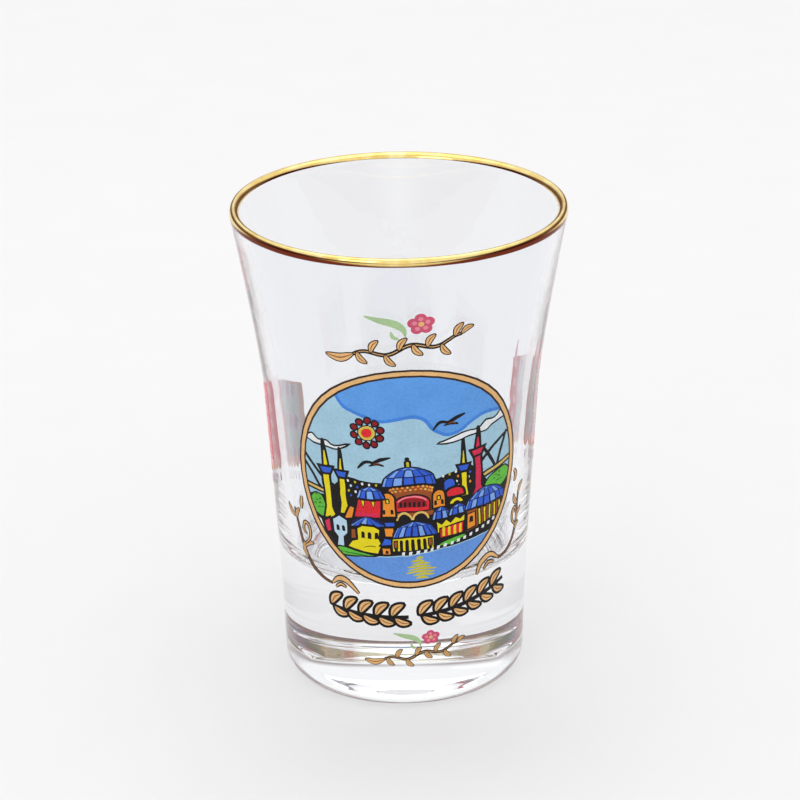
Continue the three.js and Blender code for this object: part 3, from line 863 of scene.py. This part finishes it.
def sea(t):
    """Water below the rail, with the sun's light lying on it in broken golden strokes."""
    t.fill("sea", "sea", SHORE + [(17.0, -17.0), (-17.0, -17.0)])
    for i in range(16):
        u, v = -8.6 + 2.6 * (i % 7) + 0.5 * (i // 7), -13.0 - 1.15 * (i // 7) - 0.4 * (i % 2)
        t.line("sea", "cloud", through([(u - 0.8, v), (u, v + 0.12), (u + 0.8, v)]), 0.14, 0.3)
    for i in range(8):
        v = -12.5 - 0.47 * i
        reach = 0.5 + 0.42 * i if i < 5 else 2.2 - 0.62 * (i - 5)
        u = 0.4 + 0.1 * i + 0.2 * (-1) ** i
        t.line("glint", "glint", through([(u - reach, v), (u, v + 0.12), (u + reach, v - 0.04)]), 0.4, 0.25)


def picture():
    """The whole scene from back to front, cut round, and its ring."""
    t = Transfer(PICTURE_SITE)
    sky(t)
    bridge(t)
    sea(t)
    backdrop(t)
    shrub(t, "shrub_left", [
        (-15.8, -5.6), (-15.9, -3.9), (-14.9, -2.9), (-13.7, -3.2), (-13.2, -4.8), (-13.5, -6.6),
    ])
    shrub(t, "shrub_right", [
        (11.4, -3.6), (11.9, -2.4), (13.4, -1.7), (15.4, -1.4), (16.4, -3.0), (14.2, -4.4),
    ])
    wisps(t)
    sun(t)
    bird(t, "bird_left", -4.9, 2.8)
    bird(t, "bird_right", 5.9, 8.2)
    tower(t, "tower_1", "yellow", "dome", -12.5, -6.6, 0.8, 5.7, 1.3, 1.25)
    tower(t, "tower_2", "yellow", "dome", -9.95, -5.6, 0.4, 4.8, 1.15, 0.95)
    tower(t, "tower_3", "yellow", "dome", 7.9, -4.0, 0.3, 4.9, 1.1, 0.7)
    tower(t, "tower_4", "crimson", "crimson", 10.2, -4.9, 2.2, 6.3, 1.25, 1.7)
    great_hall(t)
    left_quarter(t)
    right_quarter(t)
    waterfront(t)
    t.ring(None, None, PICTURE_RADIUS, PICTURE_REACH)
    t.ring("ring_outline", "dark_brown", PICTURE_RADIUS, RING_RADIUS)
    t.ring("medallion_ring", "gold", PICTURE_RADIUS + RING_LINE, RING_RADIUS - RING_LINE)
    t.press()


# ---- the prints round the picture ----


def leaf(t, under, piece, foot, tip, width, line, bend=0.14):
    """A gold leaf with a brown midrib, in a dark line, curved a little to its left."""
    (u0, v0), (u1, v1) = foot, tip
    middle = ((u0 + u1) / 2 - bend * (v1 - v0), (v0 + v1) / 2 + bend * (u1 - u0))
    spine = through([foot, middle, tip], steps=4)
    blade = band(spine, width, 0.12)
    t.fill(under, "black", grown(blade, line))
    t.fill(piece, "gold", blade)
    t.line(piece, "gold_shade", spine, width / 5, 0.3)


def stroke(t, piece, points, width, ends=0.3, line=0.22, ink="gold"):
    """A brush line inside a dark one."""
    curve = through(points)
    t.line(piece, "dark_brown", curve, width + line, ends + 0.2)
    t.line(piece, ink, curve, width - line, ends)


def garland():
    """Two laurel branches on a shallow arc: pairs of gold leaves in thick black lines."""
    t = Transfer(GARLAND_SITE, drawn=False)

    def rise(u):
        return (u - GARLAND_LOW) ** 2 / (2 * GARLAND_ARC)

    number = 0
    for side, first, count in (("left", -12.6, 5), ("right", 0.6, 6)):
        under = f"garland_outline_{side}"
        vine = [(first + 2.3 * i, 1.2 + rise(first + 2.3 * i)) for i in range(count + 1)]
        t.line(under, "black", through(vine), 0.7, 0.8)
        for i in range(count):
            number += 1
            u, v = vine[i]
            piece = f"garland_leaf_{number:02d}"
            leaf(t, under, piece, (u - 0.1, v + 0.3), (u + 1.5, v + 2.1), 1.0, 0.4)
            leaf(t, under, piece, (u + 0.4, v - 0.2), (u + 2.4, v - 1.0), 0.85, 0.4, bend=-0.14)
    t.press()


def scrolls():
    """A crescent under each side of the picture, and a stem that climbs from it past leaves and a curl."""
    t = Transfer(PICTURE_SITE, drawn=False)
    left = {
        "crescent": [(-13.4, -17.0), (-12.2, -16.1), (-10.8, -16.4), (-9.0, -18.2)],
        "inner": [(-12.9, -17.6), (-12.0, -17.0), (-11.0, -17.4)],
        "stem": [
            (-13.4, -17.1), (-15.1, -16.5), (-17.1, -15.0), (-18.6, -12.4), (-19.4, -9.4), (-20.1, -6.6),
        ],
        "curl": [(-18.4, -12.0), (-17.0, -10.6), (-17.0, -8.8), (-17.9, -8.4), (-18.3, -9.6), (-17.6, -10.2)],
        "drop": [(-18.4, -6.4), (-18.2, -5.4), (-18.0, -4.3)],
        "leaves": [
            ((-18.7, -12.6), (-16.4, -11.4)), ((-17.9, -14.0), (-18.6, -11.6)),
            ((-19.9, -8.0), (-21.6, -6.4)), ((-19.8, -8.2), (-18.9, -6.6)),
        ],
    }
    right = {
        "crescent": [(9.7, -17.4), (10.5, -15.7), (12.3, -14.9), (14.0, -16.0)],
        "inner": [(11.0, -17.0), (11.9, -16.1), (13.2, -16.4)],
        "stem": [(14.0, -16.2), (16.0, -15.8), (17.8, -14.2), (18.7, -11.6), (18.9, -8.8), (19.4, -6.4)],
        "curl": [(18.5, -12.6), (17.5, -11.4), (17.6, -10.0), (18.3, -9.6), (18.4, -10.6)],
        "drop": [(17.8, -5.2), (18.2, -4.2), (17.7, -3.2)],
        "leaves": [
            ((18.6, -11.9), (20.0, -10.2)), ((18.8, -9.2), (17.8, -7.4)),
            ((19.1, -7.6), (20.4, -6.2)), ((18.3, -13.2), (19.4, -12.4)),
        ],
    }
    for name, side in (("scroll_left", left), ("scroll_right", right)):
        stroke(t, f"{name}_stem", side["stem"], 0.46, 0.4, ink="gold_shade")
        for foot, tip in side["leaves"]:
            leaf(t, f"{name}_stem", f"{name}_curl", foot, tip, 0.62, 0.14)
        stroke(t, f"{name}_curl", side["drop"], 0.66)
        stroke(t, f"{name}_curl", side["curl"], 0.5)
        stroke(t, f"{name}_crescent", side["inner"], 0.5)
        stroke(t, f"{name}_crescent", side["crescent"], 0.9, 0.2)
    t.press()


def sprig(which, site, scale):
    """A five-petal blossom with a bent leaf, over a gold vine that waves between its small leaves."""
    t = Transfer(site, scale, drawn=False)
    blossom, blade, tendril = (f"sprig_{which}_{part}" for part in ("blossom", "leaf", "tendril"))
    arm = through([(-4.2, 4.1), (-2.4, 3.4), (-0.2, 2.6), (0.9, 1.6), (1.1, 0.4)])
    t.line(blade, "leaf", arm, 1.15, 0.08)
    t.line(blade, "leaf", through([(-0.8, 1.5), (-0.6, 0.6), (0.2, 0.2)]), 0.6, 0.2)
    for reach, rise, half, ink in ((1.1, 0.9, 0.84, "rose"), (0.95, 0.8, 0.36, "rose_light")):
        for i in range(5):
            a = (90 + 72 * i) * DEG
            petal = ellipse(3.4 + reach * math.cos(a), 2.2 + rise * math.sin(a), half, 0.88 * half)
            t.fill(blossom, ink, petal)
    t.fill(blossom, "gold", ellipse(3.4, 2.2, 0.42, 0.38))

    def vine(u):
        return u, -1.5 + 0.5 * math.sin(0.9 * u) + 0.07 * u

    stroke(t, tendril, [vine(u) for u in range(-7, 10)], 0.42, 0.6, 0.3)
    leaf(t, tendril, tendril, vine(-6.6), (-10.7, -1.9), 1.15, 0.16)
    for i in range(8):
        u, v = vine(-6.0 + 2.0 * i)
        up = 1 if i % 2 else -1
        leaf(t, tendril, tendril, (u, v), (u + 1.2, v + 1.7 * up), 0.8, 0.16, bend=0.14 * up)
    leaf(t, tendril, tendril, vine(9), (10.7, 0.4), 0.7, 0.16)
    t.press()


def rug(side, site, width, slope, tips):
    """A woven panel: a tan border, a grey field of diamonds and a red stripe. It hangs askew by slope, with a
    scalloped hem, a fringe below it, and pointed tips at the given shares of its width."""
    t = Transfer(site)
    field, red, grey = (f"rug_{side}_{part}" for part in ("field", "red_stripe", "grey_stripe"))

    def at(share, v):
        """The place at a share of the width from the left edge."""
        u = width * (share - 0.5)
        return u, v + slope * u

    def panel(left, right, bottom, top):
        return [at(left, bottom), at(right, bottom), at(right, top), at(left, top)]

    t.fill(field, "rug_tan", panel(0, 1, RUG_LOW, RUG_HIGH))
    t.fill(grey, "rug_grey", panel(0.1, 0.7, RUG_LOW, RUG_HIGH - 0.4))
    t.fill(red, "rug_red", panel(0.7, 1, RUG_LOW, RUG_HIGH))
    rows = 5
    pitch = (RUG_HIGH - RUG_LOW) / rows
    for j in range(rows):
        v = RUG_LOW + (j + 0.5) * pitch
        u, middle = at(0.85, v)
        t.fill(red, "rug_pink", ellipse(u, middle, width * 0.05, pitch * 0.26))
        for share in (0.24, 0.4, 0.56):
            u, middle = at(share, v)
            half, tall = width * 0.07, pitch / 2
            diamond = [(u - half, middle), (u, middle - tall), (u + half, middle), (u, middle + tall)]
            t.fill(grey, "rug_green" if j % 2 else "rug_mauve", diamond)
    scallops = round(width / 2)
    for i in range(scallops):
        u, v = at((i + 0.5) / scallops, RUG_LOW)
        t.fill(field, "rug_orange", ellipse(u, v + 0.9, width / scallops / 2, 1.7, 180, 360))
        t.fill(field, "rug_pink", ellipse(u, v + 0.4, width / scallops / 4, 0.6))
        t.line(field, "rug_mauve", [(u, v - 1.5), (u + 0.1, v - 2.1), (u, v - 2.8)], 0.45, 0.5)
    for share in tips:
        u, v = at(share, RUG_HIGH)
        tip = [(u - 0.7, v - 1.5), (u + 0.7, v - 1.5), (u + 0.15, v + 2.6), (u - 0.15, v + 2.6)]
        t.fill(field, "rug_pink", tip)
    t.press()


# ---- the set ----


def surround():
    """A bright white dome over a dim horizon, which reaches highest at the sides. The horizon draws the dark
    lines in gold and glass."""
    world = bpy.data.worlds.new("surround")
    bpy.context.scene.world = world
    world.use_nodes = True
    tree = world.node_tree
    place = tree.nodes.new("ShaderNodeTexCoord")
    parts = tree.nodes.new("ShaderNodeSeparateXYZ")
    tree.links.new(place.outputs["Generated"], parts.inputs[0])
    sideways = math_node(tree, "ABSOLUTE", parts.outputs["X"])
    height = math_node(tree, "MULTIPLY_ADD", sideways, -DIM_SIDES, parts.outputs["Z"])
    height = math_node(tree, "MULTIPLY_ADD", parts.outputs["Y"], -DIM_BACK, height)
    tone = tone_node(tree, height, (0.18, 0.11, 0.10, 1), (1.0, 1.0, 1.0, 1), 0.0, 0.2)
    background = tree.nodes["Background"]
    tree.links.new(tone, background.inputs["Color"])
    background.inputs["Strength"].default_value = DOME_STRENGTH


def stage():
    """A wide pale floor, the surround and two soft lamps."""
    span = FLOOR_SPAN * MM
    verts = [(-span, -span, 0), (span, -span, 0), (span, span, 0), (-span, span, 0)]
    floor = made("floor", verts, [[0, 1, 2, 3]])
    floor.location.z = -FLOOR_GAP * MM
    material, tree, shader = new_material("pale_floor")
    grain = noise_node(tree, 60.0, 3.0)
    tone = tone_node(tree, grain, (0.86, 0.86, 0.865, 1), (0.88, 0.88, 0.885, 1))
    tree.links.new(tone, shader.inputs["Base Color"])
    shader.inputs["Roughness"].default_value = 0.9
    floor.data.materials.append(material)
    surround()

    def lamp(name, place, size, power):
        """A soft rectangular lamp that faces the glass."""
        data = bpy.data.lights.new(name, "AREA")
        data.shape = "RECTANGLE"
        data.size, data.size_y = size
        data.energy = power
        obj = bpy.data.objects.new(name, data)
        obj.location = place
        aim = Vector((0, 0, HEIGHT * MM / 2)) - Vector(place)
        obj.rotation_euler = aim.to_track_quat("-Z", "Y").to_euler()
        bpy.context.collection.objects.link(obj)

    lamp("top_lamp", (0.0, 0.25, 1.1), (1.2, 0.9), 3.0)
    lamp("front_lamp", (-0.5, -0.9, 0.7), (0.5, 0.5), 1.0)


def camera():
    """Looks down at the front of the glass from arm's length."""
    data = bpy.data.cameras.new("camera")
    data.lens = CAMERA_LENS
    data.sensor_width = 36.0
    data.clip_start = 0.01
    obj = bpy.data.objects.new("camera", data)
    obj.location = [c * MM for c in CAMERA_PLACE]
    level = math.cos(CAMERA_PITCH)
    look = Vector((math.sin(CAMERA_YAW) * level, math.cos(CAMERA_YAW) * level, -math.sin(CAMERA_PITCH)))
    obj.rotation_mode = "QUATERNION"
    obj.rotation_quaternion = look.to_track_quat("-Z", "Y") @ Quaternion((0, 0, 1), CAMERA_ROLL)
    bpy.context.collection.objects.link(obj)
    bpy.context.scene.camera = obj


glass_body()
gold_band()
picture()
garland()
scrolls()
sprig("upper", UPPER_SPRIG_SITE, 1.0)
sprig("lower", LOWER_SPRIG_SITE, LOWER_SPRIG_SCALE)
rug("left", LEFT_RUG_SITE, LEFT_RUG_WIDTH, RUG_SLOPE, ())
rug("right", RIGHT_RUG_SITE, RIGHT_RUG_WIDTH, -RUG_SLOPE, (0.08, 0.92))
stage()
camera()
bpy.context.scene.view_settings.view_transform = "Standard"
cycles = bpy.context.scene.cycles  # the wall guides light up and down through many reflections
cycles.max_bounces = 64
cycles.glossy_bounces = 48
cycles.transmission_bounces = 48
